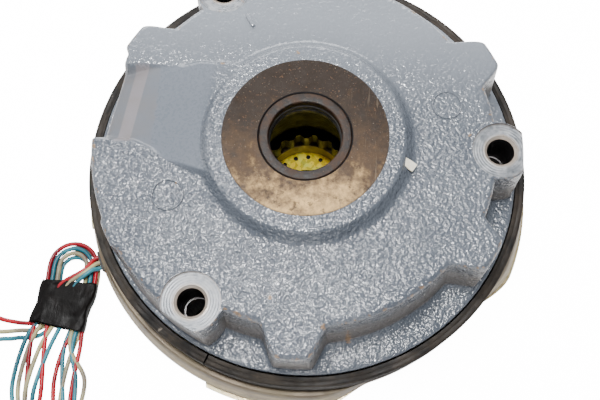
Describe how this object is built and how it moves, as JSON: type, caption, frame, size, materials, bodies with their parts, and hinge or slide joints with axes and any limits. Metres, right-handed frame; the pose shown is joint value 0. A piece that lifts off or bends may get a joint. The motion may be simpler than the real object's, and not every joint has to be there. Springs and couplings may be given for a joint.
{
  "type": "electromagnetic spring-applied disc clutch brake",
  "caption": "Round cast magnet body with bolt bosses over a sealed disc rotor and friction flange, with a bore and folded leads.",
  "frame": {"origin": "on the shaft axis, at the bottom mounting face", "axes": "+Z along the shaft axis, from the mounting face to the hub face; +X through one bolt hole"},
  "size_m": [0.218, 0.2034, 0.0552],
  "materials": {
    "cast_paint": "blue-grey paint over a rough casting, semi-gloss",
    "brown_steel": "browned machined steel",
    "machined_steel": "machined, dull",
    "yellow_plating": "yellow chromate plating",
    "aged_plating": "aged tan plating, dull",
    "black_rubber": "matt, dusty",
    "rotor_alloy": "as cast, machined faces",
    "friction_lining": "pressed friction compound",
    "coil_wire": "enamelled copper winding",
    "bobbin_plastic": "moulded, natural",
    "potting_resin": "black casting resin",
    "spring_steel": "drawn wire",
    "black_tape": "electrical tape, satin",
    "red_insulation": "glossy lead insulation",
    "white_insulation": "glossy lead insulation, yellowed",
    "blue_insulation": "glossy lead insulation"
  },
  "bodies": {
    "housing": {"magnet_body": "cast_paint", "seal_case": "brown_steel", "shaft_seal": "black_rubber", "coil_bobbin": "bobbin_plastic", "holding_coil": "coil_wire", "boost_coil": "coil_wire", "potting_ring": "potting_resin", "brake_spring_1": "spring_steel", "brake_spring_2": "spring_steel", "brake_spring_3": "spring_steel", "brake_spring_4": "spring_steel", "brake_spring_5": "spring_steel", "brake_spring_6": "spring_steel", "friction_flange": "aged_plating", "mounting_sheet": "yellow_plating", "guide_sleeve_1": "machined_steel", "guide_sleeve_2": "machined_steel", "guide_sleeve_3": "machined_steel", "retaining_screw_1": "machined_steel", "retaining_screw_2": "machined_steel", "retaining_screw_3": "machined_steel", "sealing_collar": "black_rubber", "lead_grommet": "black_rubber", "lead_hank": "red_insulation", "hank_tape": "black_tape", "lead_red": "red_insulation", "lead_white": "white_insulation", "lead_blue": "blue_insulation"},
    "armature": {"armature_plate": "machined_steel"},
    "rotor": {"rotor_carrier": "rotor_alloy", "lower_lining": "friction_lining", "upper_lining": "friction_lining", "rotor_rivet_1": "machined_steel", "rotor_rivet_2": "machined_steel", "rotor_rivet_3": "machined_steel", "rotor_rivet_4": "machined_steel", "rotor_rivet_5": "machined_steel", "rotor_rivet_6": "machined_steel"}
  },
  "joints": [
    {"name": "armature_slide", "type": "slide", "parent": "housing", "child": "armature", "axis": [0, 0, 1], "range_m": [0, 0.0005], "stiffness_N_per_m": 3000, "springref_m": -0.001, "deforming": ["brake_spring_1", "brake_spring_2", "brake_spring_3", "brake_spring_4", "brake_spring_5", "brake_spring_6"]},
    {"name": "rotor_spin", "type": "hinge", "parent": "housing", "child": "rotor", "pos_m": [0, 0, 0.013], "axis": [0, 0, 1], "continuous": true}
  ]
}
